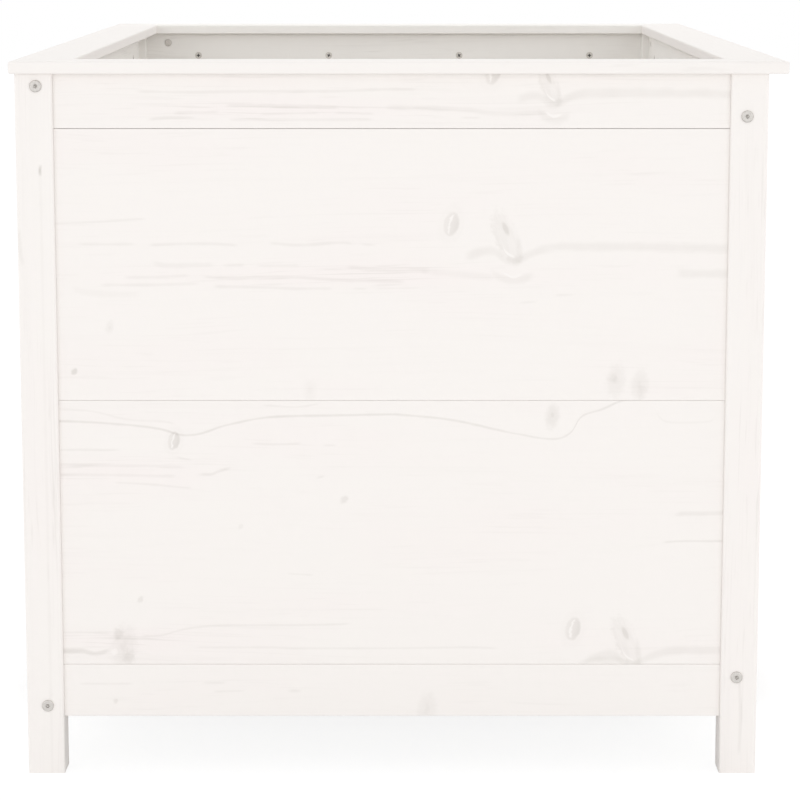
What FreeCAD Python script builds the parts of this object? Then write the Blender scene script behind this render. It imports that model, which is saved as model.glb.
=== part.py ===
import FreeCAD, Part
import os

from FreeCAD import Placement, Rotation, Vector

# Raised garden bed in painted pine, in millimetres, +Z up.
# The origin is on the ground below the middle of the cap ring, and the front end faces -Y.

# Cap ring
cap_width = 825.0
cap_length = 1195.0
total_height = 780.0
cap_board_width = 61.0
cap_thickness = 13.0
cap_edge_round = 2.0
cap_overhang = 12.5
mitre_gap = 0.1

# The ring lies a little off the middle of the posts
cap_shift_x = 7.5
cap_shift_y = 5.0

# Corner posts
post_side = 40.0
post_edge_round = 2.5
ground_clearance = 63.5

# Wall boards, lapped outside each frame
board_recess = 5.5
board_thickness = 10.0
board_end_gap = 0.1
board_edge_round = 0.8
strip_height = 58.5
top_seam_gap = 0.4
seam_gap = 0.15
lap_height = 8.0
lap_clearance = 0.3

# Wall frames, rails with stub-tenoned stiles
rail_thickness = 14.0
end_stile_count = 2
side_stile_count = 3
stile_width = 58.0
stile_inset = 48.0
tenon_thickness = 6.0
tenon_length = 10.0
tenon_shoulder = 9.0
tenon_clearance = 0.2

# Corner bolts and their barrel nuts
bolt_diameter = 6.0
bolt_clearance = 0.5
bolt_spread = 16.0
bolt_past_nut = 4.0
bolt_head_diameter = 13.0
bolt_head_height = 2.0
bolt_head_bevel = 1.4
socket_width = 4.0
socket_depth = 2.5
nut_diameter = 10.0
nut_reach = 31.0
nut_clearance = 0.15
nut_bore_clearance = 0.1
nut_sink = 0.3
nut_skin = 2.2

# Countersunk wood screws
screw_diameter = 5.0
screw_head_diameter = 10.0
screw_head_depth = 2.5
screw_clearance = 0.2
screw_skin = 2.8
screw_row_height = 27.0
end_screw_count = 4
end_screw_pitch = 190.0
side_screw_count = 6
side_screw_pitch = 182.0

# Dowels between the rails and the cap
dowel_diameter = 8.0
dowel_clearance = 0.1
dowel_in_rail = 20.0
dowel_end_room = 0.5
dowel_skin = 4.5

# Slatted floor on two cleats
cleat_width = 20.0
cleat_height = 25.0
cleat_end_inset = 45.0
slat_count = 9
slat_thickness = 18.0
slat_gap = 12.0
slat_edge_round = 2.0
slat_end_gap = 2.0
slat_wall_gap = 2.0

# Slack for matching edges by direction and place
match_slack = 0.001

# Places that follow from the sizes above
body_width = cap_width - 2 * cap_overhang
body_length = cap_length - 2 * cap_overhang
body_centre = Vector(-cap_shift_x, -cap_shift_y, 0)
wall_top = total_height - cap_thickness
end_span = body_width - 2 * post_side
side_span = body_length - 2 * post_side
board_back = board_recess + board_thickness
rail_middle = board_back + rail_thickness / 2
wall_inside = board_back + rail_thickness
lower_seam = ground_clearance + strip_height
upper_seam = wall_top - strip_height
middle_seam = (lower_seam + upper_seam) / 2
rail_floors = {"top": upper_seam, "bottom": ground_clearance}
outward = {"top": 1, "bottom": -1}
bolt_bore = bolt_diameter + 2 * bolt_clearance
socket_corner = socket_width / 3 ** 0.5
bolt_length = post_side + nut_reach + nut_diameter / 2 + bolt_past_nut
nut_length = rail_thickness - nut_sink - nut_skin
nut_depth = rail_thickness / 2 - nut_sink
screw_hole = screw_diameter + 2 * screw_clearance
board_screw_grip = board_thickness - screw_skin - screw_clearance
dowel_in_cap = cap_thickness - dowel_skin - dowel_end_room
floor_level = ground_clearance + cleat_height

x_axis = Vector(1, 0, 0)
y_axis = Vector(0, 1, 0)
z_axis = Vector(0, 0, 1)

end_wall = {
    "span": end_span,
    "reach": body_length / 2,
    "cap_span": cap_width,
    "cap_reach": cap_length / 2,
    "stiles": end_stile_count,
    "screws": end_screw_count,
    "pitch": end_screw_pitch,
}
side_wall = {
    "span": side_span,
    "reach": body_width / 2,
    "cap_span": cap_length,
    "cap_reach": cap_width / 2,
    "stiles": side_stile_count,
    "screws": side_screw_count,
    "pitch": side_screw_pitch,
}
walls = {
    "front": {"turn": 0, **end_wall},
    "right": {"turn": 90, **side_wall},
    "back": {"turn": 180, **end_wall},
    "left": {"turn": 270, **side_wall},
}

nodes = {}


def block(x_range, y_range, z_range):
    low = Vector(x_range[0], y_range[0], z_range[0])
    high = Vector(x_range[1], y_range[1], z_range[1])
    size = high - low
    return Part.makeBox(size.x, size.y, size.z, low)


def rod(diameter, length, start, direction):
    return Part.makeCylinder(diameter / 2, length, start, direction)


def prism(points, direction):
    outline = Part.makePolygon([*points, points[0]])
    return Part.Face(outline).extrude(direction)


def turned(points, axis):
    outline = Part.makePolygon([*points, points[0]])
    return Part.Face(outline).revolve(Vector(), axis, 360)


def moved(shape, placement):
    return shape.transformed(placement.toMatrix(), True)


def shifted(shape, place):
    return moved(shape, Placement(place, Rotation()))


def parallel(edge, direction):
    return edge.tangentAt(edge.FirstParameter).cross(direction).Length < match_slack


def along(shape, direction):
    return [edge for edge in shape.Edges if parallel(edge, direction)]


def row(count, pitch):
    return [(index - (count - 1) / 2) * pitch for index in range(count)]


# A wall is drawn as seen from outside: x along it, y inwards from the posts' outer faces
def wall_placement(wall):
    about_centre = Placement(body_centre, Rotation(z_axis, wall["turn"]))
    return about_centre * Placement(Vector(0, -wall["reach"], 0), Rotation())


def screw():
    length = rail_thickness + board_screw_grip
    head = screw_head_diameter / 2
    shank = screw_diameter / 2
    points = [
        Vector(0, 0, 0),
        Vector(head, 0, 0),
        Vector(shank, -screw_head_depth, 0),
        Vector(shank, -length, 0),
        Vector(0, -length, 0),
    ]
    return turned(points, y_axis)


def screw_seat():
    wide = screw_head_diameter / 2 + screw_clearance
    narrow = screw_hole / 2
    sink = Part.makeCone(wide, narrow, screw_head_depth, Vector(), -y_axis)
    return sink.fuse(rod(screw_hole, rail_thickness, Vector(), -y_axis))


def bolt():
    rim = bolt_head_diameter / 2
    shank = bolt_diameter / 2
    points = [
        Vector(-bolt_head_height, 0, 0),
        Vector(-bolt_head_height, rim - bolt_head_bevel, 0),
        Vector(0, rim, 0),
        Vector(0, shank, 0),
        Vector(bolt_length, shank, 0),
        Vector(bolt_length, 0, 0),
    ]
    solid = turned(points, x_axis)
    corner = Vector(0, socket_corner, 0)
    corners = [Rotation(x_axis, angle).multVec(corner) for angle in range(0, 360, 60)]
    socket = prism(corners, Vector(socket_depth, 0, 0))
    return solid.cut(shifted(socket, Vector(-bolt_head_height, 0, 0)))


def barrel_nut():
    body = rod(nut_diameter, nut_length, Vector(0, -nut_length, 0), y_axis)
    bore = bolt_diameter + 2 * nut_bore_clearance
    across = Vector(-nut_diameter, -nut_depth, 0)
    return body.cut(rod(bore, 2 * nut_diameter, across, x_axis))


# Left ends take the bolts nearest mid-height, right ends the outer ones, so no two meet in a post
def bolt_places(wall, level):
    middle = rail_floors[level] + strip_height / 2
    offset = outward[level] * bolt_spread
    half = wall["span"] / 2
    return [(-half, middle - offset, 0), (half, middle + offset, 180)]


def screw_places(wall):
    height = upper_seam + screw_row_height
    return [Vector(place, wall_inside, height) for place in row(wall["screws"], wall["pitch"])]


# Dowels stand in every second gap of the row of screws
def dowel_places(wall):
    screws = row(wall["screws"], wall["pitch"])
    gaps = [(one + two) / 2 for one, two in zip(screws, screws[1:])]
    return [Vector(place, rail_middle, wall_top) for place in gaps[::2]]


def rail(wall, level):
    half = wall["span"] / 2
    floor = rail_floors[level]
    solid = block((-half, half), (board_back, wall_inside), (floor, floor + strip_height))
    cuts = []
    for end, height, turn in bolt_places(wall, level):
        inwards = Rotation(z_axis, turn).multVec(x_axis)
        start = Vector(end, rail_middle, height)
        cuts.append(rod(bolt_bore, bolt_length - post_side + bolt_clearance, start, inwards))
        mouth = start + inwards * nut_reach + y_axis * (wall_inside - rail_middle)
        hole = nut_diameter + 2 * nut_clearance
        cuts.append(rod(hole, nut_length + nut_sink + nut_clearance, mouth, -y_axis))
    cuts += [tenon_slot(place, floor, level) for place in stile_places(wall)]
    if level == "top":
        cuts += [shifted(screw_seat(), place) for place in screw_places(wall)]
        cuts += [dowel_hole(place, dowel_in_rail, -z_axis) for place in dowel_places(wall)]
    return solid.cut(cuts)


def dowel():
    return rod(dowel_diameter, dowel_in_rail + dowel_in_cap, Vector(0, 0, -dowel_in_rail), z_axis)


def dowel_hole(mouth, depth, direction):
    return rod(dowel_diameter + 2 * dowel_clearance, depth + dowel_end_room, mouth, direction)


def stile_places(wall):
    between_ends = wall["span"] - 2 * stile_inset - stile_width
    return row(wall["stiles"], between_ends / (wall["stiles"] - 1))


def tenon_block(place, z_range, clearance):
    half_width = stile_width / 2 - tenon_shoulder + clearance
    half_thickness = tenon_thickness / 2 + clearance
    thickness = (rail_middle - half_thickness, rail_middle + half_thickness)
    return block((place - half_width, place + half_width), thickness, z_range)


def tenon_slot(place, floor, level):
    depth = tenon_length + tenon_clearance
    edge = {"top": floor, "bottom": floor + strip_height - depth}[level]
    return tenon_block(place, (edge, edge + depth), tenon_clearance)


def stile(place):
    half = stile_width / 2
    z_range = (lower_seam, upper_seam)
    body = block((place - half, place + half), (board_back, wall_inside), z_range)
    tenons = tenon_block(place, (lower_seam - tenon_length, upper_seam + tenon_length), 0)
    return body.fuse(tenons).removeSplitter()


# The lower board's tongue rises behind the lip of the board above it
def board(wall, low, high, gap_below=None, gap_above=None):
    half = wall["span"] / 2 - board_end_gap
    lip = (board_recess + board_back - lap_clearance) / 2
    tongue = lip + lap_clearance
    if gap_below:
        edge = low + gap_below / 2
        bottom = [(board_back, low + lap_height), (lip, low + lap_height), (lip, edge), (board_recess, edge)]
    else:
        bottom = [(board_back, low), (board_recess, low)]
    if gap_above:
        tip = high + lap_height - lap_clearance
        edge = high - gap_above / 2
        top = [(board_recess, edge), (tongue, edge), (tongue, tip), (board_back, tip)]
    else:
        top = [(board_recess, high), (board_back, high)]
    points = [Vector(-half, y, z) for y, z in bottom + top]
    solid = prism(points, Vector(2 * half, 0, 0))
    edges = along(solid, x_axis)
    corners = [edge for edge in edges if abs(edge.CenterOfMass.y - board_recess) < match_slack]
    return solid.makeFillet(board_edge_round, corners)


def drilled(solid, wall):
    depth = rail_thickness + board_screw_grip + screw_clearance
    return solid.cut([rod(screw_hole, depth, place, -y_axis) for place in screw_places(wall)])


def wall_pieces(name, wall):
    pieces = {
        "top_board": drilled(board(wall, upper_seam, wall_top, gap_below=top_seam_gap), wall),
        "upper_board": board(wall, middle_seam, upper_seam, seam_gap, top_seam_gap),
        "lower_board": board(wall, lower_seam, middle_seam, seam_gap, seam_gap),
        "bottom_board": board(wall, ground_clearance, lower_seam, gap_above=seam_gap),
        "top_rail": rail(wall, "top"),
        "bottom_rail": rail(wall, "bottom"),
    }
    for index, place in enumerate(stile_places(wall), 1):
        pieces[f"stile_{index}"] = stile(place)
    for piece, shape in pieces.items():
        nodes[f"{name}_{piece}"] = moved(shape, wall_placement(wall))


def wall_fasteners(wall):
    bolts, nuts = [], []
    for level in rail_floors:
        for end, height, turn in bolt_places(wall, level):
            facing = Placement(Vector(end, rail_middle, height), Rotation(z_axis, turn))
            bolts.append(moved(bolt(), facing * Placement(Vector(-post_side, 0, 0), Rotation())))
            inwards = facing.Rotation.multVec(x_axis)
            centre = facing.Base + inwards * nut_reach + y_axis * nut_depth
            nuts.append(shifted(barrel_nut(), centre))
    screws = [shifted(screw(), place) for place in screw_places(wall)]
    dowels = [shifted(dowel(), place) for place in dowel_places(wall)]
    placement = wall_placement(wall)
    groups = {"post_bolts": bolts, "barrel_nuts": nuts, "board_screws": screws, "cap_dowels": dowels}
    return {name: [moved(shape, placement) for shape in shapes] for name, shapes in groups.items()}


# Each post is bored for one wall's inner bolts and, across them, for its neighbour's outer bolts
def post():
    half = post_side / 2
    solid = block((-half, half), (-half, half), (0, wall_top))
    solid = solid.makeFillet(post_edge_round, along(solid, z_axis))
    offset = rail_middle - half
    bores = []
    for level in rail_floors:
        (_, inner, _), (_, outer, _) = bolt_places(walls["front"], level)
        bores.append(rod(bolt_bore, post_side, Vector(-half, offset, inner), x_axis))
        bores.append(rod(bolt_bore, post_side, Vector(offset, -half, outer), y_axis))
    return solid.cut(bores)


def corner_posts():
    across = (body_width - post_side) / 2
    deep = (body_length - post_side) / 2
    corners = {
        "front_left": (-across, -deep, 0),
        "front_right": (across, -deep, 90),
        "back_right": (across, deep, 180),
        "back_left": (-across, deep, 270),
    }
    for name, (x, y, turn) in corners.items():
        place = body_centre + Vector(x, y, 0)
        nodes[f"post_{name}"] = moved(post(), Placement(place, Rotation(z_axis, turn)))


def cap_board(wall):
    outer_half = wall["cap_span"] / 2 - mitre_gap / 2 ** 0.5
    inner_half = outer_half - cap_board_width
    outer_line = -wall["cap_reach"]
    inner_line = outer_line + cap_board_width
    plan = [
        Vector(-outer_half, outer_line, wall_top),
        Vector(outer_half, outer_line, wall_top),
        Vector(inner_half, inner_line, wall_top),
        Vector(-inner_half, inner_line, wall_top),
    ]
    solid = prism(plan, z_axis * cap_thickness)
    solid = solid.makeFillet(cap_edge_round, along(solid, x_axis))
    solid = moved(solid, Placement(Vector(), Rotation(z_axis, wall["turn"])))
    holes = [dowel_hole(place, dowel_in_cap, z_axis) for place in dowel_places(wall)]
    return solid.cut([moved(hole, wall_placement(wall)) for hole in holes])


def floor_cleat(wall):
    half = wall["span"] / 2 - cleat_end_inset
    depth = (wall_inside, wall_inside + cleat_width)
    solid = block((-half, half), depth, (ground_clearance, floor_level))
    return moved(solid, wall_placement(wall))


def floor_slats():
    half_length = body_width / 2 - wall_inside - slat_end_gap
    room = side_span - 2 * slat_wall_gap
    width = (room - (slat_count - 1) * slat_gap) / slat_count
    top = floor_level + slat_thickness
    slat = block((-half_length, half_length), (-width / 2, width / 2), (floor_level, top))
    edges = [edge for edge in along(slat, x_axis) if top - edge.CenterOfMass.z < match_slack]
    slat = slat.makeFillet(slat_edge_round, edges)
    for index, line in enumerate(row(slat_count, width + slat_gap), 1):
        nodes[f"floor_slat_{index}"] = shifted(slat, body_centre + y_axis * line)


corner_posts()
fasteners = {}
for wall_name, wall_sizes in walls.items():
    wall_pieces(wall_name, wall_sizes)
    nodes[f"cap_{wall_name}"] = cap_board(wall_sizes)
    for group, shapes in wall_fasteners(wall_sizes).items():
        fasteners.setdefault(group, []).extend(shapes)
for side in ("left", "right"):
    nodes[f"floor_cleat_{side}"] = floor_cleat(walls[side])
floor_slats()
for group, shapes in fasteners.items():
    nodes[group] = Part.makeCompound(shapes)

os.makedirs("parts", exist_ok=True)
for node, shape in nodes.items():
    shape.exportStep(f"parts/{node}.step")
print(len(nodes), "pieces written")
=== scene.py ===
import bmesh
import bpy
import math
from mathutils import Matrix, Vector


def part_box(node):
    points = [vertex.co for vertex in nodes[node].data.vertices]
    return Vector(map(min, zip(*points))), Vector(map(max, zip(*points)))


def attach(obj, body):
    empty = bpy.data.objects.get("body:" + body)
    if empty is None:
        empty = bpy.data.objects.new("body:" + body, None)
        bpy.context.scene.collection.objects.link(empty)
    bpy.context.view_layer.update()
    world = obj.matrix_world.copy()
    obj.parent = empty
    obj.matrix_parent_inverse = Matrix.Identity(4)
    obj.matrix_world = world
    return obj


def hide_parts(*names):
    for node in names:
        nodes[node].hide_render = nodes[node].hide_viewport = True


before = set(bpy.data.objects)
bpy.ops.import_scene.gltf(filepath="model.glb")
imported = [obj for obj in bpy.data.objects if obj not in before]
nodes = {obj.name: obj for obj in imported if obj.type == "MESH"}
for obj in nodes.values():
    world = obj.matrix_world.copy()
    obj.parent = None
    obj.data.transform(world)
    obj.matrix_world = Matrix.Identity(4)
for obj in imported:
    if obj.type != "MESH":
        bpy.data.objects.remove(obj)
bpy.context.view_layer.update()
mm = 0.001
print("frame loaded with", len(nodes), "nodes")


# one socket of a node tree, with Python's operators for its maths
class Wire:
    def __init__(self, tree, socket=None):
        self.tree = tree
        self.socket = socket

    # settings go on first, then the sockets' values or links
    def node(self, kind, settings=None, values=None, output=0):
        made = self.tree.nodes.new("ShaderNode" + kind)
        for name, value in (settings or {}).items():
            if name == "curve":
                drawCurve(made.mapping, value)
            else:
                setattr(made, name, value)
        for name, value in (values or {}).items():
            if isinstance(value, Wire):
                self.tree.links.new(value.socket, made.inputs[name])
            else:
                made.inputs[name].default_value = value
        return Wire(self.tree, made.outputs[output] if made.outputs else None)

    # another output of the same node
    def sibling(self, name):
        return Wire(self.tree, self.socket.node.outputs[name])

    def calc(self, operation, *values):
        return self.node("Math", {"operation": operation}, dict(enumerate(values)))

    def __add__(self, other):
        return self.calc("ADD", self, other)

    def __sub__(self, other):
        return self.calc("SUBTRACT", self, other)

    def __rsub__(self, other):
        return self.calc("SUBTRACT", other, self)

    def __mul__(self, other):
        return self.calc("MULTIPLY", self, other)

    def __truediv__(self, other):
        return self.calc("DIVIDE", self, other)

    __radd__ = __add__
    __rmul__ = __mul__


# a smooth curve through points in any units
def drawCurve(mapping, points):
    mapping.use_clip = False
    mapping.extend = "HORIZONTAL"
    curve = mapping.curves[0]
    for point, place in zip(curve.points, (points[0], points[-1])):
        point.location = place
    for place in points[1:-1]:
        curve.points.new(*place)
    for point in curve.points:
        point.handle_type = "AUTO_CLAMPED"
    mapping.update()


# 0 at low, 1 at high, with soft shoulders
def ramp(value, low, high):
    sockets = {"Value": value, "From Min": low, "From Max": high}
    return value.node("MapRange", {"interpolation_type": "SMOOTHSTEP"}, sockets)


# 1 in the middle, fading to nothing at about twice the reach
def bell(value, reach):
    return value.calc("EXPONENT", value * value * (-1 / reach ** 2))


# noise from 0 to 1 about its middle
noiseMiddle = 0.5


def noise(u, v, w, detail=2.0, roughness=0.5):
    place = u.node("CombineXYZ", values={"X": u, "Y": v, "Z": w})
    sockets = {"Vector": place, "Scale": 1.0, "Detail": detail, "Roughness": roughness}
    return u.node("TexNoise", values=sockets)


def mixColour(factor, first, second):
    sockets = {0: factor, 6: (*first, 1) if isinstance(first, tuple) else first}
    sockets[7] = (*second, 1) if isinstance(second, tuple) else second
    return factor.node("Mix", {"data_type": "RGBA"}, sockets, output=2)


def newSheet(name):
    material = bpy.data.materials.new(name)
    material.use_nodes = True
    material.node_tree.nodes.clear()
    return material, Wire(material.node_tree)


def finishSheet(sheet, sockets):
    surface = sheet.node("BsdfPrincipled", values=sockets)
    sheet.node("OutputMaterial", values={"Surface": surface})


# Object coordinates, which are metres in the part's own frame
def objectPlace(sheet):
    split = sheet.node("SeparateXYZ", values={"Vector": sheet.node("TexCoord", output="Object")})
    return {letter: split.sibling(letter) for letter in "XYZ"}


# distance from a mark's middle, 1 on its edge; sizes are millimetres, tilt is degrees
def oval(board, place, radii, tilt, size):
    turn = math.radians(tilt)
    du = board["u"] - place[0]
    dv = board["v"] - place[1]
    p = (du * math.cos(turn) + dv * math.sin(turn)) / (radii[0] * size)
    q = (dv * math.cos(turn) - du * math.sin(turn)) / (radii[1] * size)
    square = p * p + q * q
    return p, q, square.calc("SQRT", square)


# a sound knot: a dark egg with a darker rim, a pale slit on one side and a faint halo
eyeKit = {
    "radii": (13, 8.2),
    "tilt": 77,
    "ragged": 0.3,
    "heart": {"edge": (1.14, 0.62), "strength": 0.24, "lean": 0.12},
    "rim": {"at": 0.9, "reach": 0.17, "strength": 0.1},
    "slit": {"at": 0.26, "bow": 0.4, "ragged": 0.7, "reach": 0.13, "edge": (0.9, 0.65), "strength": 0.36},
    "halo": {"at": 1.4, "reach": 0.3, "strength": 0.03},
}


def eyeKnot(board, place, size=1.0, strength=1.0):
    p, q, edge = oval(board, place, eyeKit["radii"], eyeKit["tilt"], size)
    egg = edge + board["ragged"] * eyeKit["ragged"]
    heart, slit = eyeKit["heart"], eyeKit["slit"]
    dark = ramp(egg, *heart["edge"]) * (heart["strength"] - q * heart["lean"])
    rim, halo = [
        bell(egg - kit["at"], kit["reach"]) * kit["strength"] for kit in (eyeKit["rim"], eyeKit["halo"])]
    course = q + p * p * slit["bow"] - slit["at"] + board["ragged"] * slit["ragged"]
    pale = bell(course, slit["reach"]) * ramp(egg, *slit["edge"]) * slit["strength"]
    return (dark + rim - pale + halo) * strength


# a small hard dot
pinKit = {"radii": (4.4, 3.4), "tilt": 60, "edge": (1.25, 0.4), "strength": 0.27}


def pinKnot(board, place, size=1.0, strength=1.0):
    edge = oval(board, place, pinKit["radii"], pinKit["tilt"], size)[2] + board["ragged"]
    return ramp(edge, *pinKit["edge"]) * (pinKit["strength"] * strength)


# a knot that hardly shows through the paint
ghostKit = {
    "radii": (16, 9),
    "tilt": 84,
    "ragged": 0.8,
    "veil": {"edge": (1.35, 0.45), "strength": 0.1},
    "heart": {"edge": (0.42, 0.05), "strength": 0.07},
}


def ghostKnot(board, place, size=1.0, strength=1.0):
    edge = oval(board, place, ghostKit["radii"], ghostKit["tilt"], size)[2]
    edge = edge + board["ragged"] * ghostKit["ragged"]
    veil, heart = [
        ramp(edge, *kit["edge"]) * kit["strength"] for kit in (ghostKit["veil"], ghostKit["heart"])]
    return (veil + heart) * strength


# a branch cut along its length: a leaning leaf with a dark lozenge; at is where a part lies from the middle
leafKit = {
    "blade": {"at": (1, -9), "radii": (31, 12.5), "tilt": -68, "edge": (1.15, 0.75), "ragged": 0.9},
    "strands": {"across": 3, "along": 1.2, "strength": 0.22, "base": 0.01, "lean": 0.05},
    "patches": {
        "lozenge": {"at": (0, 0), "radii": (8, 2.9), "tilt": -66, "edge": (1.25, 0.5), "strength": 0.28},
        "vein": {"at": (14.5, -21), "radii": (14, 3.2), "tilt": -83, "edge": (1.4, 0.2), "strength": 0.12},
        "foot": {"at": (13.5, -33), "radii": (6.5, 5), "tilt": 30, "edge": (1.4, 0.2), "strength": 0.11},
    },
}


def leafKnot(board, place, size=1.0, strength=1.0):
    def part(kit):
        middle = place[0] + kit["at"][0] * size, place[1] + kit["at"][1] * size
        return oval(board, middle, kit["radii"], kit["tilt"], size)

    blade, strands = leafKit["blade"], leafKit["strands"]
    p, q, edge = part(blade)
    threads = noise(q * strands["across"], p * strands["along"], 0)
    shading = threads * strands["strength"] - strands["base"] - q * strands["lean"]
    tone = ramp(edge + board["ragged"] * blade["ragged"], *blade["edge"]) * shading
    for kit in leafKit["patches"].values():
        tone = tone + ramp(part(kit)[2], *kit["edge"]) * kit["strength"]
    return tone * strength


# a grain line through a few points, in millimetres
def line(width, strength, *points):
    return {"width": width, "strength": strength, "points": points}


# the grain that runs round a leaf's foot, with two light streaks
leafGrain = [
    line(3.6, 0.13, (-45, -30), (-32, -26.5), (-19, -23.5), (-11, -25), (-3, -31.5), (9, -35),
         (18, -32), (29, -26), (43, -21.5), (70, -19.5), (146, -20), (300, -23)),
    line(3.6, 0.12, (-16.6, -41.5), (-12.4, -48.3), (-2.8, -53.8), (11, -55.8), (32, -50)),
    line(1.0, -0.3, (-5, -14), (-1.4, -22.6), (4, -28), (11, -31)),
    line(1.0, -0.34, (-6, -45.5), (0, -48.6), (8, -52), (19, -49.5)),
]


def boardLines(look):
    lines = list(look.get("lines", ()))
    for kind, place, *rest in look.get("knots", ()):
        size = rest[0] if rest else 1.0
        for grain in leafGrain if kind == "leaf" else ():
            points = [(place[0] + across * size, place[1] + up * size) for across, up in grain["points"]]
            lines.append(line(grain["width"], grain["strength"], *points))
    return lines


# lines of one width that follow each other along the board, a gap apart, share a lane
laneKit = {"gap": 8, "fade": 9, "fadeShare": 0.45, "edge": (2.0, 0.3), "least": 0.5}


def packLanes(lines):
    lanes = []
    for grain in sorted(lines, key=lambda grain: grain["points"][0][0]):
        start = grain["points"][0][0] - laneKit["gap"]
        for lane in lanes:
            if lane[0]["width"] == grain["width"] and lane[-1]["points"][-1][0] < start:
                lane.append(grain)
                break
        else:
            lanes.append([grain])
    return lanes


def grainLane(board, lane):
    course, tones = [], []
    for grain in lane:
        strength = grain["strength"]
        left, right = grain["points"][0][0], grain["points"][-1][0]
        fade = min(laneKit["fade"], (right - left) * laneKit["fadeShare"])
        course.extend(grain["points"])
        tones.extend([(left, 0), (left + fade, strength), (right - fade, strength), (right, 0)])
    u, worn = board["u"], board["patchy"] + laneKit["least"]
    off = board["v"] - u.node("FloatCurve", {"curve": course}, {"Value": u})
    band = ramp(off.calc("ABSOLUTE", off) / (worn * lane[0]["width"]), *laneKit["edge"])
    return band * u.node("FloatCurve", {"curve": tones}, {"Value": u}) * worn


# white paint on pine; u runs with the grain, v across the face and w into the wood
pine = {
    "paint": (0.905, 0.871, 0.843),
    "blush": (0.905, 0.857, 0.835),
    # shade is a lighter, more neutral copy of the paint: painted light for the pieces inside the bed
    "shade": (0.94, 0.92, 0.886),
    "chalk": (0.97, 0.955, 0.94),
    "shadow": (0.49, 0.455, 0.415),
    "roughness": {"base": 0.5, "fibres": 0.14, "marks": 0.3},
    "relief": {"fibres": 0.4, "marks": 1.5, "strength": 0.35, "distance": 0.3 * mm},
    "gloss": 0.3,
    "wander": 46,
    "fibreTone": 0.02,
    "busy": {"shows": (0.4, 0.68), "least": 0.1},
    "pink": {"shows": (0.45, 0.7), "strength": 0.5},
    "marks": {"eye": eyeKnot, "pin": pinKnot, "ghost": ghostKnot, "leaf": leafKnot},
}

# noises of the wood: scales per millimetre along u, v and w, and the ways in which a seed moves them
layers = {
    "ragged": {"scales": (0.2, 0.2, 0.2), "moved": "u"},
    "patchy": {"scales": (0.035, 0.06, 0.06), "moved": "u"},
    "drift": {"scales": (0.0013, 0.005, 0.005), "moved": "w"},
    "clouds": {"scales": (0.004, 0.012, 0.012), "moved": "u"},
    "fibres": {"scales": (0.03, 1.7, 1.3), "moved": "v", "roughness": 0.55},
    "years": {"scales": (0.0019, 0.085, 0.035), "moved": "uw", "detail": 4, "roughness": 0.6},
    "threads": {"scales": (0.0062, 0.36, 0.2), "moved": "uw", "roughness": 0.55},
    "dashes": {"scales": (0.017, 0.27, 0.15), "moved": "v", "detail": 1},
}
streakTones = {
    "years": {"shows": (0.53, 0.75), "strength": 0.09},
    "threads": {"shows": (0.57, 0.74), "strength": 0.13},
    "dashes": {"shows": (0.6, 0.74), "strength": 0.11},
}


def layer(board, name, across=None):
    kit = layers[name]
    places = []
    for axis, value, scale in zip("uvw", (board["u"], across or board["v"], board["w"]), kit["scales"]):
        place = value * scale
        places.append(place + board["seed"] if axis in kit["moved"] else place)
    extras = {key: kit[key] for key in ("detail", "roughness") if key in kit}
    return noise(*places, **extras)


# what the marks of a board share: places in millimetres, its seed and two noises
def boardSpace(sheet, axes, look):
    place = objectPlace(sheet)
    scales = (1 / mm, 1 / mm, look.get("deep", 1) / mm)
    u, v, w = [place[letter] * scale for letter, scale in zip(axes, scales)]
    board = {"u": u, "v": v, "w": w, "seed": look["seed"]}
    board["ragged"] = layer(board, "ragged") - noiseMiddle
    board["patchy"] = layer(board, "patchy")
    return board


def paintedPine(name, axes, look):
    material, sheet = newSheet(name)
    board = boardSpace(sheet, axes, look)
    lane = board["v"] + (layer(board, "drift") - noiseMiddle) * pine["wander"]
    fibres = layer(board, "fibres", lane)
    clouds = layer(board, "clouds")
    years, threads, dashes = [
        ramp(layer(board, kind, lane), *kit["shows"]) * kit["strength"] for kind, kit in streakTones.items()]
    busy = ramp(clouds, *pine["busy"]["shows"]) * look["streaks"] + pine["busy"]["least"]
    pink = ramp(clouds, *pine["pink"]["shows"]) * pine["pink"]["strength"]
    for band in look.get("bands", ()):
        along, up = [
            bell(board[axis] - middle, reach) for axis, middle, reach in zip("uv", band["at"], band["reach"])]
        patch = along * up
        busy = busy + patch * band["strength"]
        pink = pink + patch
    tone = (years + threads + dashes) * busy + (fibres - noiseMiddle) * pine["fibreTone"]
    for mark in look.get("knots", ()):
        tone = tone + pine["marks"][mark[0]](board, *mark[1:])
    for grain in packLanes(boardLines(look)):
        tone = tone + grainLane(board, grain)
    ground, bloom = look.get("paint", ("paint", "blush"))
    paint = mixColour(pink, pine[ground], pine[bloom])
    relief, roughness = pine["relief"], pine["roughness"]
    bump = sheet.node("Bump", values={
        "Strength": relief["strength"],
        "Distance": relief["distance"],
        "Height": fibres * relief["fibres"] - tone * relief["marks"],
    })
    finishSheet(sheet, {
        "Base Color": mixColour(0 - tone, mixColour(tone, paint, pine["shadow"]), pine["chalk"]),
        "Roughness": fibres * roughness["fibres"] + roughness["base"] - tone * roughness["marks"],
        "Specular IOR Level": pine["gloss"],
        "Normal": bump,
    })
    return material


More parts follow.
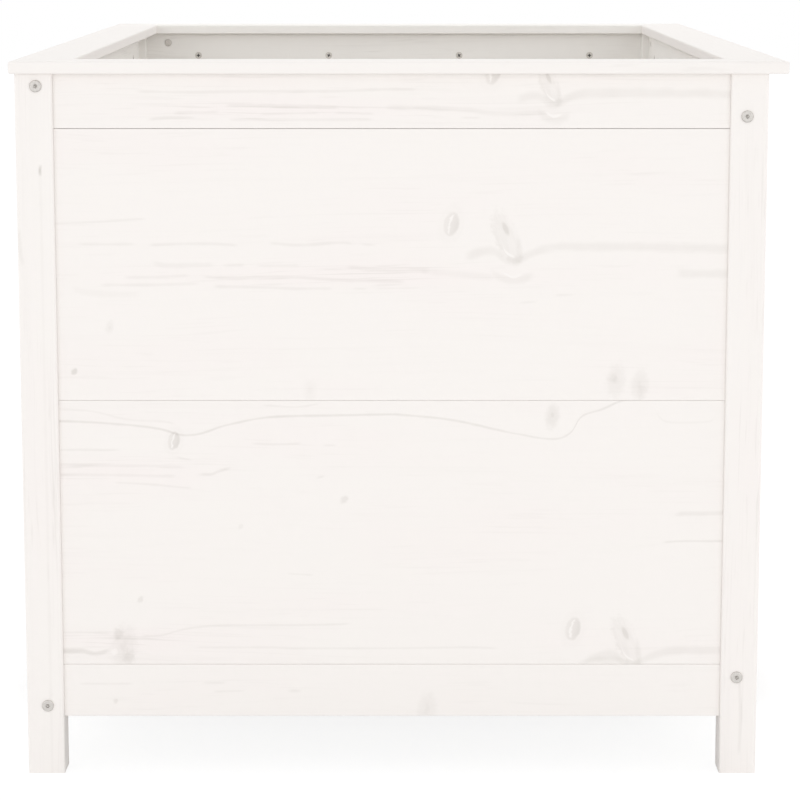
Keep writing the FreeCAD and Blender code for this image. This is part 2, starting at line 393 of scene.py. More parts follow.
# marks on the front boards, in millimetres across and up; a knot has a kind, a place, a size and a strength
frontLooks = {
    "front_top_board": {
        "seed": 2.3,
        "streaks": 0.9,
        "bands": [{"at": (-130, 728), "reach": (170, 12), "strength": 1.1}],
        "knots": [("eye", (100, 768)), ("leaf", (159, 762), 0.78)],
        "lines": [
            line(1.3, 0.13, (-279, 748), (-225, 747), (-160, 748), (-79, 748), (-4, 750), (20, 750)),
            line(1.3, 0.12, (-187, 733), (-117, 733), (-62, 731)),
            line(1.3, 0.14, (-241, 725), (-190, 726)),
            line(1.0, 0.13, (-149, 724), (-83, 725)),
            line(1.0, 0.12, (-71, 725), (-23, 724)),
            line(1.3, 0.14, (-268, 718), (-241, 720), (-214, 720)),
            line(1.3, 0.1, (-182, 718), (-106, 718), (-26, 718)),
            line(2.0, 0.1, (-15, 731), (42, 730), (75, 728), (96, 725), (120, 724), (160, 725)),
            line(1.0, 0.12, (63, 720), (90, 720)),
        ],
    },
    "front_upper_board": {
        "seed": 5.7,
        "streaks": 0.35,
        "bands": [{"at": (-60, 551), "reach": (220, 13), "strength": 1.0}],
        "knots": [
            ("eye", (56.5, 606.5)),
            ("leaf", (114.5, 601.5)),
            ("ghost", (234, 437), 1.15, 1.3),
            ("pin", (231, 440), 1.3, 0.4),
            ("ghost", (260, 432), 1.05, 1.3),
            ("ghost", (262, 423), 0.55, 0.7),
            ("pin", (-350, 447), 1.0, 1.4),
            ("ghost", (-311, 495), 0.5, 1.0),
            ("ghost", (-96, 426), 0.8, 0.6),
        ],
        "lines": [
            line(1.0, 0.1, (-390, 606), (-322, 609), (-268, 612)),
            line(1.3, 0.09, (-345, 585), (-279, 585)),
            line(1.3, 0.12, (-270, 584), (-225, 585.5), (-170, 583)),
            line(1.3, 0.12, (-141, 586), (-107, 584), (-58, 586.5), (-48, 585)),
            line(1.0, 0.1, (-42, 585), (-22, 584)),
            line(2.0, 0.1, (-266, 565), (-247, 562), (-196, 562.5)),
            line(1.3, 0.09, (-190, 562), (-162, 563)),
            line(1.3, 0.1, (-155, 561.5), (-104, 562)),
            line(2.0, 0.13, (-58, 560), (-29, 557.5), (1, 556), (34, 556)),
            line(1.3, 0.11, (-296, 549), (-258, 549.5), (-222, 551)),
            line(1.3, 0.13, (-212, 550), (-175, 548), (-150, 549.5), (-107, 549), (-74, 547), (8, 544.5)),
            line(1.3, 0.11, (-322, 541), (-269, 541), (-212, 542.5)),
            line(1.3, 0.12, (-201, 539.5), (-150, 538.5), (-107, 537), (-70, 537)),
            line(1.0, 0.1, (-53, 537), (-31, 537)),
            line(2.8, 0.06, (-352, 536), (-323, 532), (-276, 530.5)),
            line(2.8, 0.08, (20, 556), (45, 554.5), (104, 549)),
            line(1.0, 0.09, (165, 530), (190, 530.5)),
            line(1.0, 0.09, (128, 521.5), (150, 523)),
            line(3.6, 0.12, (296, 553), (330, 553), (380, 553)),
        ],
    },
    "front_lower_board": {
        "seed": 9.2,
        "streaks": 0.3,
        "bands": [
            {"at": (-310, 338), "reach": (80, 16), "strength": 1.2},
            {"at": (-310, 150), "reach": (70, 12), "strength": 1.0},
        ],
        "knots": [
            ("eye", (-243.5, 371), 0.78, 1.2),
            ("ghost", (166, 398), 0.85, 1.9),
            ("pin", (-59.4, 306), 1.2, 0.8),
            ("pin", (-282, 195), 1.0, 0.8),
            ("pin", (-172, 276), 0.8, 0.4),
            ("ghost", (-301, 141), 1.55, 1.4),
            ("pin", (-307, 156.5), 1.7, 0.7),
            ("pin", (-296, 130), 2.0, 0.6),
            ("pin", (-311.5, 136), 1.0, -0.7),
            ("eye", (190.6, 162)),
            ("leaf", (248, 157)),
        ],
        "lines": [
            line(1.0, 0.24, (-420, 394), (-313, 390), (-259, 384), (-230, 377), (-183, 389),
                 (-139, 397), (-64, 399), (1, 400)),
            line(1.0, 0.2, (-8, 400), (20, 398), (56, 394), (131, 378), (167, 373), (186, 380),
                 (197, 397), (218, 405), (250, 416)),
            line(1.0, 0.08, (-370, 406), (-329, 403), (-297, 395), (-240, 389)),
            line(1.3, 0.18, (-220, 334), (-205, 334), (-196, 337), (-180, 342)),
            line(1.0, 0.12, (-400, 361), (-340, 361), (-300, 361)),
            line(1.3, 0.1, (-400, 345), (-330, 344), (-230, 342)),
            line(1.3, 0.11, (-400, 334), (-300, 333), (-240, 332)),
            line(1.0, 0.12, (-310, 325), (-270, 323), (-222, 319)),
            line(1.0, 0.14, (-245, 353), (-222, 350)),
            line(1.0, 0.13, (-162, 368), (-129, 367), (-103, 368)),
            line(1.0, 0.12, (-84, 366), (-66, 366)),
            line(1.0, 0.12, (-91, 330), (-79, 332)),
            line(1.0, 0.1, (-150, 410), (-112, 408), (-84, 412)),
            line(1.0, 0.06, (274, 410), (281, 398), (288, 392.5), (305, 391), (338, 392.5), (345, 410)),
            line(2.0, 0.14, (298, 289), (316, 291), (332, 290.5), (380, 294)),
            line(1.0, 0.19, (285, 258), (327, 260), (390, 260)),
            line(2.0, 0.24, (-400, 135), (-349, 137), (-333, 134), (-314, 139)),
            line(1.0, 0.1, (-400, 157), (-344, 158), (-310, 156)),
            line(1.0, 0.13, (-284, 154), (-268, 154), (-232, 162), (-183, 166), (-147, 166), (-50, 168)),
            line(1.0, 0.1, (-225, 141), (-140, 141), (-116, 140), (-24, 140), (80, 141), (110, 140)),
            line(1.0, 0.11, (-124, 224), (-92, 222)),
            line(2.8, 0.11, (195, 122), (216, 127), (235, 127), (256, 122)),
        ],
    },
    "front_bottom_board": {
        "seed": 13.4,
        "streaks": 0.4,
        "knots": [("ghost", (31, 71), 1.2, 1.1), ("pin", (-311, 80), 0.8, 0.8)],
        "lines": [
            line(1.0, 0.1, (-352, 100), (-289, 100)),
            line(1.0, 0.1, (-218, 101), (-188, 101)),
            line(1.0, 0.1, (-205, 91), (-168, 92)),
            line(1.3, 0.1, (-123, 92), (-105, 92)),
        ],
    },
}

# a few marks for every other wall, measured along it and up
wallLooks = {
    "right": {
        "top": [("pin", (-140, 745), 1.1), ("ghost", (380, 735))],
        "upper": [
            ("eye", (-310, 520)),
            ("leaf", (-250, 514)),
            ("pin", (120, 640), 1.1, 0.8),
            ("ghost", (330, 470), 1.2),
        ],
        "lower": [("eye", (215, 300), 0.9), ("pin", (-90, 210)), ("leaf", (-420, 250)), ("ghost", (60, 360))],
        "bottom": [("eye", (-200, 95), 0.8), ("pin", (300, 88))],
    },
    "back": {
        "top": [("ghost", (60, 738)), ("pin", (-250, 750))],
        "upper": [("eye", (140, 560)), ("leaf", (-160, 500)), ("pin", (-300, 650))],
        "lower": [("eye", (-220, 210), 1.05), ("ghost", (90, 330), 1.2), ("pin", (260, 170))],
        "bottom": [("pin", (180, 90), 1.2)],
    },
    "left": {
        "top": [("eye", (90, 740), 0.7), ("pin", (-320, 735))],
        "upper": [("eye", (260, 470), 0.95), ("leaf", (-60, 620)), ("pin", (-380, 540), 1.2)],
        "lower": [("leaf", (310, 330)), ("eye", (-270, 180)), ("ghost", (20, 240), 1.2)],
        "bottom": [("ghost", (-60, 92)), ("pin", (410, 85))],
    },
}

# marks on the posts, measured up and across
postLooks = {
    "post_front_left": [
        line(1.3, 0.55, (657, -381.5), (664, -382), (671, -381)),
        line(2.0, 0.12, (560, -402), (580, -405), (604, -407)),
    ],
    "post_front_right": [line(1.3, 0.13, (20, 374), (60, 375), (110, 373))],
    "post_back_right": [line(1.3, 0.16, (250, 372), (330, 374), (420, 372))],
    "post_back_left": [line(1.3, 0.16, (480, -390), (560, -388), (640, -391))],
}

# which way the grain runs: along, across, through
wallAxes = {"front": "XZY", "back": "XZY", "right": "YZX", "left": "YZX"}
capAxes = {"front": "XYZ", "back": "XYZ", "right": "YXZ", "left": "YXZ"}

# how streaky the pieces are, and a lighter paint for the frame inside, the back posts and the back cap board:
# painted light that brightens them where the bed shades them
streakShares = {"board": 0.7, "cap": 0.45, "post": 0.9, "frame": 1.0}
insidePaintedLight = {"paint": ("shade", "shade")}
seedStep = 1.37


def pieceLook(name, seed):
    first, second = name.split("_")[:2]
    if name in frontLooks:
        return wallAxes["front"], frontLooks[name]
    if name.endswith("_board"):
        return wallAxes[first], {
            "seed": seed, "streaks": streakShares["board"], "knots": wallLooks[first][second]}
    if first == "cap":
        look = {"seed": seed, "streaks": streakShares["cap"], "paint": ("paint", "paint")}
        # the back cap board takes the lighter inside paint: painted light
        return capAxes[second], look | insidePaintedLight if second == "back" else look
    if first == "post":
        look = {"seed": seed, "streaks": streakShares["post"], "deep": 2, "lines": postLooks[name]}
        # the back posts take the lighter inside paint: painted light
        return "ZXY", look | insidePaintedLight if second == "back" else look
    # rails, stiles, slats and cleats take the lighter inside paint: painted light
    look = {"seed": seed, "streaks": streakShares["frame"]} | insidePaintedLight
    if second == "slat":
        return "XYZ", look
    if second == "cleat":
        return "YZX", look
    if second.startswith("stile"):
        return "Z" + wallAxes[first][0] + wallAxes[first][2], look
    return wallAxes[first], look


def dress(node, material):
    mesh = nodes[node].data
    mesh.materials.clear()
    mesh.materials.append(material)


fasteners = ("post_bolts", "barrel_nuts", "board_screws", "cap_dowels")
for order, name in enumerate(sorted(nodes), 1):
    if name not in fasteners:
        axes, look = pieceLook(name, seedStep * order)
        dress(name, paintedPine("whitePine_" + name, axes, look))
print("painted pine on the boards, posts, rails, cap and floor")


# zinc plate: faint cloudy spangle and fine grit, with painted shade in a recess; scales are per millimetre
zinc = {
    "spangle": {"scale": 0.5, "detail": 3, "shows": (0.3, 0.7), "darker": 0.9, "rough": 0.16},
    "grit": {"scale": 6, "strength": 0.12, "distance": 0.1 * mm},
    # recess: a near-black colour painted into recesses as painted shade, with rougher metal there
    "recess": {"colour": (0.05, 0.05, 0.05), "share": 0.85, "rough": 0.2},
    "roughness": 0.42,
    "colours": {"Bolt": (0.65, 0.625, 0.595), "Nut": (0.70, 0.67, 0.635), "Screw": (0.70, 0.67, 0.63)},
}


def zincPlate(name, colour):
    material, sheet = newSheet(name)
    spangle, grit, recess = zinc["spangle"], zinc["grit"], zinc["recess"]
    places = [place * (1 / mm) for place in objectPlace(sheet).values()]
    clouds = noise(*[place * spangle["scale"] for place in places], spangle["detail"])
    grains = noise(*[place * grit["scale"] for place in places])
    darker = tuple(part * spangle["darker"] for part in colour)
    tint = mixColour(ramp(clouds, *spangle["shows"]), colour, darker)
    # the marked recess faces, which get painted shade
    sunk = sheet.node("Attribute", {"attribute_name": "sunk"}, output="Fac")
    bump = sheet.node("Bump", values={
        "Strength": grit["strength"], "Distance": grit["distance"], "Height": grains})
    finishSheet(sheet, {
        "Base Color": mixColour(sunk * recess["share"], tint, recess["colour"]),
        "Metallic": 1.0,
        "Roughness": clouds * spangle["rough"] + zinc["roughness"] + sunk * recess["rough"],
        "Normal": bump,
    })
    return material


# bare beech with short flecks, for the dowels
beech = {
    "wood": (0.74, 0.57, 0.38),
    "fleck": (0.58, 0.40, 0.24),
    "scales": (1.4, 1.4, 0.2),
    "shows": (0.55, 0.72),
    "roughness": {"base": 0.55, "flecks": 0.1},
}


def bareBeech(name):
    material, sheet = newSheet(name)
    places = objectPlace(sheet).values()
    flecks = noise(*[place * (1 / mm) * scale for place, scale in zip(places, beech["scales"])])
    flecks = ramp(flecks, *beech["shows"])
    finishSheet(sheet, {
        "Base Color": mixColour(flecks, beech["wood"], beech["fleck"]),
        "Roughness": flecks * beech["roughness"]["flecks"] + beech["roughness"]["base"],
    })
    return material


boltZinc, nutZinc, screwZinc = [zincPlate("zinc" + part, zinc["colours"][part]) for part in zinc["colours"]]
dress("cap_dowels", bareBeech("bareBeech"))


# modelling helpers; new solids stand on Z with their middle at the given height
nearly = 0.001 * mm
smoothAngle = 20


def addCylinder(sides, radius, depth, middle, lean=0):
    bpy.ops.object.select_all(action="DESELECT")
    bpy.ops.mesh.primitive_cylinder_add(
        vertices=sides, radius=radius, depth=depth, location=(0, 0, middle), rotation=(lean, 0, 0))
    bpy.ops.object.transform_apply(location=True, rotation=True, scale=True)
    return bpy.context.object


def addBlock(size, middle=0, turn=0):
    bpy.ops.object.select_all(action="DESELECT")
    bpy.ops.mesh.primitive_cube_add(size=1, scale=size, location=(0, 0, middle), rotation=(0, 0, turn))
    bpy.ops.object.transform_apply(location=True, rotation=True, scale=True)
    return bpy.context.object


def startPiece(piece, name):
    piece.name = name
    piece.data.name = name
    bpy.ops.object.mode_set(mode="EDIT")
    bpy.ops.mesh.select_mode(type="FACE")
    bpy.ops.mesh.select_all(action="DESELECT")
    return piece


def pick(piece, kind, wanted):
    bpy.ops.mesh.select_mode(type=kind)
    bpy.ops.mesh.select_all(action="DESELECT")
    mesh = bmesh.from_edit_mesh(piece.data)
    for part in {"FACE": mesh.faces, "EDGE": mesh.edges}[kind]:
        part.select = wanted(part)
    mesh.select_flush_mode()
    bmesh.update_edit_mesh(piece.data)


def flatAt(height):
    return lambda part: all(abs(vert.co.z - height) < nearly for vert in part.verts)


# level edges, all of them or those nearer the axis than most
def rimAt(height, most=1.0):
    level = flatAt(height)
    return lambda edge: level(edge) and all(vert.co.xy.length < most for vert in edge.verts)


def drawDown(depth):
    bpy.ops.mesh.extrude_region_move(TRANSFORM_OT_translate={"value": (0, 0, -depth)})


def narrow(share, height):
    bpy.ops.transform.resize(value=(share, share, 1), center_override=(0, 0, height))


def cut(piece, cutter):
    bpy.ops.object.mode_set(mode="OBJECT")
    chisel = piece.modifiers.new("cut", "BOOLEAN")
    chisel.operation = "DIFFERENCE"
    chisel.solver = "EXACT"
    chisel.object = cutter
    bpy.context.view_layer.objects.active = piece
    bpy.ops.object.modifier_apply(modifier=chisel.name)
    bpy.data.objects.remove(cutter, do_unlink=True)


def onlySelect(*things):
    bpy.ops.object.select_all(action="DESELECT")
    for thing in things:
        thing.select_set(True)
    bpy.context.view_layer.objects.active = things[0]


def smooth(piece):
    onlySelect(piece)
    bpy.ops.object.shade_smooth_by_angle(angle=math.radians(smoothAngle))


# faces of a recess, told by their place, for painted shade on the metal
def markRecessShade(piece, reach, low, high):
    sunk = piece.data.attributes.new("sunk", "FLOAT", "FACE")
    for face, mark in zip(piece.data.polygons, sunk.data):
        within = face.center.xy.length < reach and low < face.center.z < high
        mark.value = 1.0 if within else 0.0


# copies of a model, each turned from +Z to its facing, moved to its place, and joined as one set
def placeSet(model, name, places, material):
    copies = []
    for point, facing, spin in places:
        onlySelect(model)
        bpy.ops.object.duplicate(linked=False)
        copy = bpy.context.object
        turn = Vector(facing).to_track_quat("Z", "Y").to_matrix().to_4x4()
        copy.matrix_world = Matrix.Translation(point) @ turn @ Matrix.Rotation(math.radians(spin), 4, "Z")
        copies.append(copy)
    bpy.data.objects.remove(model, do_unlink=True)
    onlySelect(*copies)
    bpy.ops.object.transform_apply(location=True, rotation=True, scale=True)
    bpy.ops.object.join()
    piece = bpy.context.object
    piece.name = name
    piece.data.name = name
    piece.data.materials.clear()
    piece.data.materials.append(material)
    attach(piece, "root")
    return piece


# each fastener of a row is left at another angle, in degrees
def spinOf(spin, number):
    return spin["first"] + spin["step"] * number


# corner bolts: low domed head with a hexagon socket that ends in a drill point
boltKit = {
    "sides": 48,
    "head": 13.0 * mm,
    "height": 2.0 * mm,
    "rim": 1.4 * mm,
    "rimSteps": 8,
    "ring": 0.2 * mm,
    "shank": 6.0 * mm,
    "length": 80.0 * mm,
    "chamfer": 0.6 * mm,
    "socket": 4.0 * mm,
    "socketSides": 6,
    "socketEdge": 0.2 * mm,
    "socketMargin": 1.05,
    "depth": 2.5 * mm,
    "drillPoint": 0.9 * mm,
    "drillTip": 0.1,
    "stagger": 16.0 * mm,
    "spin": {"first": 13, "step": 37},
}


def modelBolt(kit):
    head = addCylinder(kit["sides"], kit["head"] / 2, kit["height"], kit["height"] / 2)
    bolt = startPiece(head, "boltModel")
    pick(bolt, "FACE", flatAt(0))
    bpy.ops.mesh.inset(thickness=(kit["head"] - kit["shank"]) / 2)
    drawDown(kit["length"])
    pick(bolt, "EDGE", rimAt(-kit["length"]))
    bpy.ops.mesh.bevel(offset=kit["chamfer"], segments=1)
    pick(bolt, "EDGE", rimAt(kit["height"]))
    bpy.ops.mesh.bevel(offset=kit["rim"], segments=kit["rimSteps"])
    pick(bolt, "FACE", flatAt(kit["height"]))
    bpy.ops.mesh.inset(thickness=kit["ring"])
    bpy.ops.object.mode_set(mode="OBJECT")
    corner = kit["socket"] / math.sqrt(3)
    cut(bolt, addCylinder(kit["socketSides"], corner, 2 * kit["depth"], kit["height"]))
    onlySelect(bolt)
    bpy.ops.object.mode_set(mode="EDIT")
    foot = kit["height"] - kit["depth"]
    pick(bolt, "FACE", flatAt(foot))
    drawDown(kit["drillPoint"])
    narrow(kit["drillTip"], foot - kit["drillPoint"])
    pick(bolt, "EDGE", rimAt(kit["height"], corner * kit["socketMargin"]))
    bpy.ops.mesh.bevel(offset=kit["socketEdge"], segments=2)
    bpy.ops.object.mode_set(mode="OBJECT")
    smooth(bolt)
    return bolt


# the way along each wall, seen from outside, and the way to its inside
wallSides = {
    "front": {"along": Vector((1, 0, 0)), "inside": Vector((0, 1, 0))},
    "right": {"along": Vector((0, 1, 0)), "inside": Vector((-1, 0, 0))},
    "back": {"along": Vector((-1, 0, 0)), "inside": Vector((0, -1, 0))},
    "left": {"along": Vector((0, -1, 0)), "inside": Vector((1, 0, 0))},
}
postLow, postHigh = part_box("post_front_left")
postSide = postHigh.x - postLow.x


# every rail end: its place at the bolt's height, the way its bolt goes in and the wall's inside
def railEnds(stagger):
    ends = []
    for wall, sides in wallSides.items():
        for level, outward in (("top", 1), ("bottom", -1)):
            low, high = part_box(f"{wall}_{level}_rail")
            middle = (low + high) / 2
            half = abs((high - low).dot(sides["along"])) / 2
            for end in (-1, 1):
                place = middle + sides["along"] * half * end
                place.z += outward * end * stagger
                ends.append({"place": place, "inwards": sides["along"] * -end, "inside": sides["inside"]})
    return ends


boltPlaces = []
for number, end in enumerate(railEnds(boltKit["stagger"])):
    head = end["place"] - end["inwards"] * postSide
    boltPlaces.append((head, -end["inwards"], spinOf(boltKit["spin"], number)))
bolts = placeSet(modelBolt(boltKit), "cornerBolts", boltPlaces, boltZinc)
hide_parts("post_bolts")
print("corner bolts:", len(boltPlaces))


# barrel nuts: a cross bore for the bolt and a slot in the end that shows
nutKit = {
    "sides": 48,
    "diameter": 10.0 * mm,
    "length": 11.5 * mm,
    "sink": 0.3 * mm,
    "bore": 6.2 * mm,
    "boreSides": 32,
    "boreDepth": 6.7 * mm,
    "slotWidth": 1.5 * mm,
    "slotDepth": 1.3 * mm,
    "chamfer": 0.7 * mm,
    "chamferSteps": 3,
    "reach": 31.0 * mm,
}


def modelNut(kit):
    barrel = addCylinder(kit["sides"], kit["diameter"] / 2, kit["length"], -kit["length"] / 2)
    nut = startPiece(barrel, "nutModel")
    for height in (0, -kit["length"]):
        pick(nut, "EDGE", rimAt(height))
        bpy.ops.mesh.bevel(offset=kit["chamfer"], segments=kit["chamferSteps"])
    bpy.ops.object.mode_set(mode="OBJECT")
    through = kit["diameter"] * 2
    cut(nut, addBlock((kit["slotWidth"], through, kit["slotDepth"] * 2)))
    cut(nut, addCylinder(kit["boreSides"], kit["bore"] / 2, through, -kit["boreDepth"], math.pi / 2))
    smooth(nut)
    return nut


railLow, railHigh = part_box("front_top_rail")
nutStep = (railHigh.y - railLow.y) / 2 - nutKit["sink"]
nutPlaces = []
for end in railEnds(boltKit["stagger"]):
    centre = end["place"] + end["inwards"] * nutKit["reach"] + end["inside"] * nutStep
    slotTurn = 0 if abs(end["inside"].y) else 90
    nutPlaces.append((centre, end["inside"], slotTurn))
nuts = placeSet(modelNut(nutKit), "slottedNuts", nutPlaces, nutZinc)
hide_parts("barrel_nuts")
print("barrel nuts:", len(nutPlaces))


# wood screws with a cross recess: countersunk ones in the top rails, pan heads elsewhere
shortRow = {"count": 4, "pitch": 190.0 * mm}
longRow = {"count": 6, "pitch": 182.0 * mm}
screwKit = {
    "sides": 40,
    "head": 10.0 * mm,
    "headDepth": 2.5 * mm,
    "headEdge": 0.25 * mm,
    "shank": 5.0 * mm,
    "length": 21.0 * mm,
    "point": 4.0 * mm,
    "tip": 0.12,
    "recessLong": 6.4 * mm,
    "recessWide": 1.9 * mm,
    "recessDeep": 2.2 * mm,
    "recessTaper": 0.6,
    "rowHeight": 27.0 * mm,
    "rows": {"front": shortRow, "back": shortRow, "right": longRow, "left": longRow},
    "spin": {"first": 8, "step": 29},
}
panKit = {
    "sides": 32,
    "head": 9.0 * mm,
    "headHeight": 2.4 * mm,
    "dome": 1.5 * mm,
    "domeSteps": 5,
    "ring": 0.15 * mm,
    "shank": 4.5 * mm,
    "length": 18.0 * mm,
    "point": 4.0 * mm,
    "tip": 0.12,
    "recessLong": 5.0 * mm,
    "recessWide": 1.3 * mm,
    "recessDeep": 1.7 * mm,
    "recessTaper": 0.6,
}
sunkRange = {"below": 0.1 * mm, "underTop": 0.05 * mm}


# the last face of a shank drawn out straight, then to a point
def drawPoint(kit, straight):
    drawDown(straight)
    drawDown(kit["point"])
    narrow(kit["tip"], -kit["length"])


def cutCross(screw, kit, top):
    foot = top - kit["recessDeep"]
    for degrees in (0, 90):
        bpy.ops.object.mode_set(mode="OBJECT")
        size = kit["recessLong"], kit["recessWide"], kit["recessDeep"] * 2
        blade = startPiece(addBlock(size, top, math.radians(degrees)), "blade")
        pick(blade, "FACE", flatAt(foot))
        narrow(kit["recessTaper"], foot)
        cut(screw, blade)
    # the recess faces are marked for painted shade
    markRecessShade(screw, kit["recessLong"] / 2, foot - sunkRange["below"], top - sunkRange["underTop"])
    smooth(screw)


def modelScrew(kit):
    head = addCylinder(kit["sides"], kit["head"] / 2, kit["headDepth"], -kit["headDepth"] / 2)
    screw = startPiece(head, "screwModel")
    pick(screw, "FACE", flatAt(-kit["headDepth"]))
    narrow(kit["shank"] / kit["head"], -kit["headDepth"])
    drawPoint(kit, kit["length"] - kit["headDepth"] - kit["point"])
    pick(screw, "EDGE", rimAt(0))
    bpy.ops.mesh.bevel(offset=kit["headEdge"], segments=2)
    cutCross(screw, kit, 0)
    return screw


def modelPanScrew(kit):
    head = addCylinder(kit["sides"], kit["head"] / 2, kit["headHeight"], kit["headHeight"] / 2)
    screw = startPiece(head, "panModel")
    pick(screw, "FACE", flatAt(0))
    bpy.ops.mesh.inset(thickness=(kit["head"] - kit["shank"]) / 2)
    drawPoint(kit, kit["length"] - kit["point"])
    pick(screw, "EDGE", rimAt(kit["headHeight"]))
    bpy.ops.mesh.bevel(offset=kit["dome"], segments=kit["domeSteps"])
    pick(screw, "FACE", flatAt(kit["headHeight"]))
    bpy.ops.mesh.inset(thickness=kit["ring"])
    cutCross(screw, kit, kit["headHeight"])
    return screw


# places of a row about its middle
def spread(row):
    return [(index - (row["count"] - 1) / 2) * row["pitch"] for index in range(row["count"])]


# middle of a piece's face on the given side
def faceMiddle(node, facing):
    low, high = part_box(node)
    return (low + high) / 2 + facing * (abs((high - low).dot(facing)) / 2)


railScrewPlaces = []
for wall, sides in wallSides.items():
    rail = f"{wall}_top_rail"
    for number, place in enumerate(spread(screwKit["rows"][wall])):
        point = faceMiddle(rail, sides["inside"]) + sides["along"] * place
        point.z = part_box(rail)[0].z + screwKit["rowHeight"]
        railScrewPlaces.append((point, sides["inside"], spinOf(screwKit["spin"], number)))
railScrews = placeSet(modelScrew(screwKit), "railScrews", railScrewPlaces, screwZinc)
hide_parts("board_screws")
print("rail screws:", len(railScrewPlaces))

# frame screws: two for each wide board on every stile, set off to alternate sides
stileScrews = {
    "shares": (0.12, 0.38, 0.62, 0.88),
    "sideways": 12.0 * mm,
    "spin": {"first": 21, "step": 31},
}
panPlaces = []
for wall, sides in wallSides.items():
    for stile in [name for name in sorted(nodes) if name.startswith(f"{wall}_stile")]:
        low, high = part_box(stile)
        for number, share in enumerate(stileScrews["shares"]):
            sideways = stileScrews["sideways"] * (-1) ** number
            point = faceMiddle(stile, sides["inside"]) + sides["along"] * sideways
            point.z = low.z + (high.z - low.z) * share
            panPlaces.append((point, sides["inside"], spinOf(stileScrews["spin"], number)))

# slat screws go down into the cleats, and cleat screws into the rails behind them
slatScrews = {"shares": (0.25, 0.75), "clear": 8 * mm, "spin": {"first": 17, "step": 41}}
cleatScrews = {"count": 5, "pitch": 220.0 * mm, "spin": {"first": 0, "step": 33}}
for side in ("left", "right"):
    cleat = f"floor_cleat_{side}"
    cleatLow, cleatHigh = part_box(cleat)
    middle = (cleatLow + cleatHigh) / 2
    for slat in [name for name in sorted(nodes) if name.startswith("floor_slat")]:
        low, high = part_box(slat)
        for number, share in enumerate(slatScrews["shares"]):
            y = low.y + (high.y - low.y) * share
            if cleatLow.y + slatScrews["clear"] < y < cleatHigh.y - slatScrews["clear"]:
                panPlaces.append(((middle.x, y, high.z), (0, 0, 1), spinOf(slatScrews["spin"], number)))
    inside = wallSides[side]["inside"]
    for number, place in enumerate(spread(cleatScrews)):
        point = faceMiddle(cleat, inside) + Vector((0, place, 0))
        panPlaces.append((point, inside, spinOf(cleatScrews["spin"], number)))
placeSet(modelPanScrew(panKit), "frameScrews", panPlaces, screwZinc)
print("frame and floor screws:", len(panPlaces))


# floor, world, lamps and camera; lifts are how much of the white shows over the floor's own shade
stage = {
    "floorSize": 30.0,
    "floorColour": (0.93, 0.93, 0.93),
    "floorGlow": 1.1,
    "floorLift": 0.78,
    "shadeLift": 0.3,
    "shadeLow": (-0.44, -0.3),
    "shadeHigh": (0.44, 0.6),
    "shadeEdge": 0.08,
    "white": 1.0,
    "sky": 0.83,
}
plainWhite = (1, 1, 1, 1)


def backdropRay(sheet):
    path = sheet.node("LightPath", output="Is Camera Ray")
    rays = path + path.sibling("Is Glossy Ray") + path.sibling("Is Transmission Ray")
    return rays.calc("MINIMUM", rays, 1)


# how white the floor looks; deep under the bed, out of the photo's sight, it keeps more of its own shade
def floorWhite(sheet):
    place = objectPlace(sheet)
    edge, lift = stage["shadeEdge"], stage["floorLift"]
    shade = lift - stage["shadeLift"]
    for letter, low, high in zip("XY", stage["shadeLow"], stage["shadeHigh"]):
        rise = ramp(place[letter], low - edge, low + edge)
        fall = ramp(place[letter], high + edge, high - edge)
        shade = rise * fall * shade
    return lift - shade


bpy.ops.object.select_all(action="DESELECT")
bpy.ops.mesh.primitive_plane_add(size=stage["floorSize"], location=(0, 0, 0))
floor = bpy.context.object
floor.name = "studioFloor"
floorPaint, sheet = newSheet("studioFloor")
matte = sheet.node("BsdfDiffuse", values={"Color": (*stage["floorColour"], 1)})
glow = sheet.node("Emission", values={"Color": plainWhite, "Strength": stage["floorGlow"]})
seen = sheet.node("MixShader", values={0: backdropRay(sheet) * floorWhite(sheet), 1: matte, 2: glow})
sheet.node("OutputMaterial", values={"Surface": seen})
floor.data.materials.append(floorPaint)

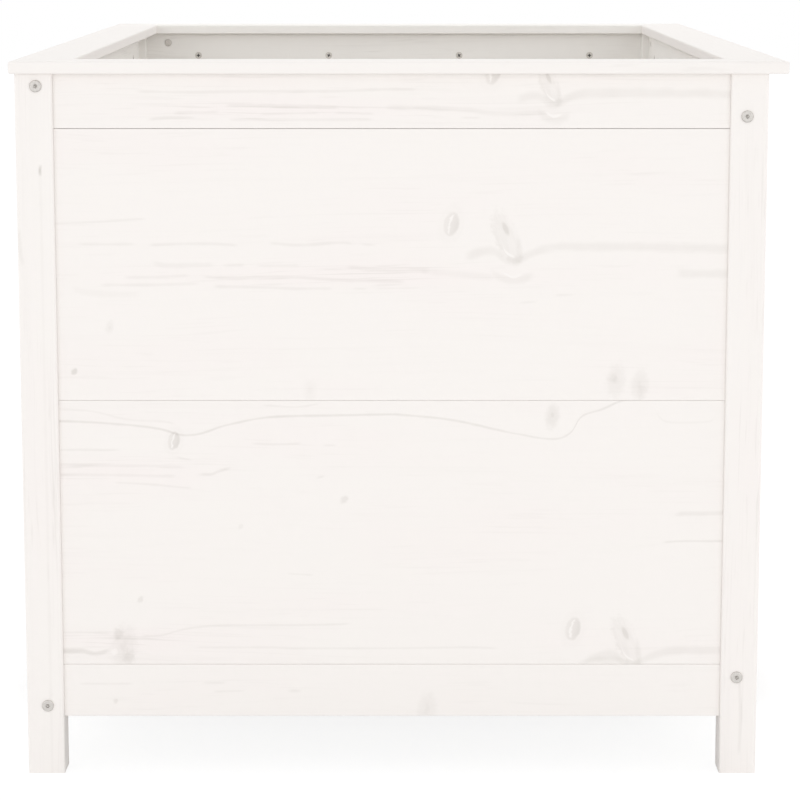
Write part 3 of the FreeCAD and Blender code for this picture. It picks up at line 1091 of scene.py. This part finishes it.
world = bpy.data.worlds.new("studioWorld")
bpy.context.scene.world = world
world.use_nodes = True
world.node_tree.nodes.clear()
sheet = Wire(world.node_tree)
lightSky = sheet.node("Background", values={"Color": plainWhite, "Strength": stage["sky"]})
whiteSky = sheet.node("Background", values={"Color": plainWhite, "Strength": stage["white"]})
sky = sheet.node("MixShader", values={0: backdropRay(sheet), 1: lightSky, 2: whiteSky})
sheet.node("OutputWorld", values={"Surface": sky})

# softboxes: metres and watts
frontBox = {"target": (0, -0.4, 0.5), "size": (3.6, 2.6)}
sideBox = {"target": (0, 0, 0.7), "size": (2.6, 2.0)}
backBox = {"target": (0, 0.4, 0.5), "size": (2.4, 2.4)}
lamps = {
    "frontLeftSoftbox": frontBox | {"place": (-3.4, -5.9, 1.8), "power": 46},
    "frontRightSoftbox": frontBox | {"place": (3.4, -5.9, 1.8), "power": 44},
    "rightSoftbox": sideBox | {"place": (3.8, 0.2, 2.2), "power": 25},
    "leftSoftbox": sideBox | {"place": (-3.8, 0.2, 2.2), "power": 19},
    "backSoftbox": backBox | {"place": (0, 4.4, 3.4), "power": 18},
}
for name, lamp in lamps.items():
    light = bpy.data.lights.new(name, "AREA")
    light.shape = "RECTANGLE"
    light.size, light.size_y = lamp["size"]
    light.energy = lamp["power"]
    holder = bpy.data.objects.new(name, light)
    bpy.context.scene.collection.objects.link(holder)
    holder.location = lamp["place"]
    holder.visible_camera = False
    aim = Vector(lamp["target"]) - Vector(lamp["place"])
    holder.rotation_euler = aim.to_track_quat("-Z", "Y").to_euler()

# a long lens, a little above the cap, in front of the short end; pitch is degrees below level
view = {
    "place": (1.33 * mm, -3604.02 * mm, 920.1 * mm),
    "pitch": 9.158,
    "lens": 127.53,
    "sensor": 36,
    "shiftUp": -0.02,
}
cameraData = bpy.data.cameras.new("photoView")
cameraData.sensor_width = view["sensor"]
cameraData.lens = view["lens"]
cameraData.shift_y = view["shiftUp"]
camera = bpy.data.objects.new("photoView", cameraData)
bpy.context.scene.collection.objects.link(camera)
camera.location = view["place"]
camera.rotation_euler = (math.radians(90 - view["pitch"]), 0, 0)
bpy.context.scene.camera = camera
bpy.context.scene.view_settings.view_transform = "Standard"
print("stage, lamps and camera set")
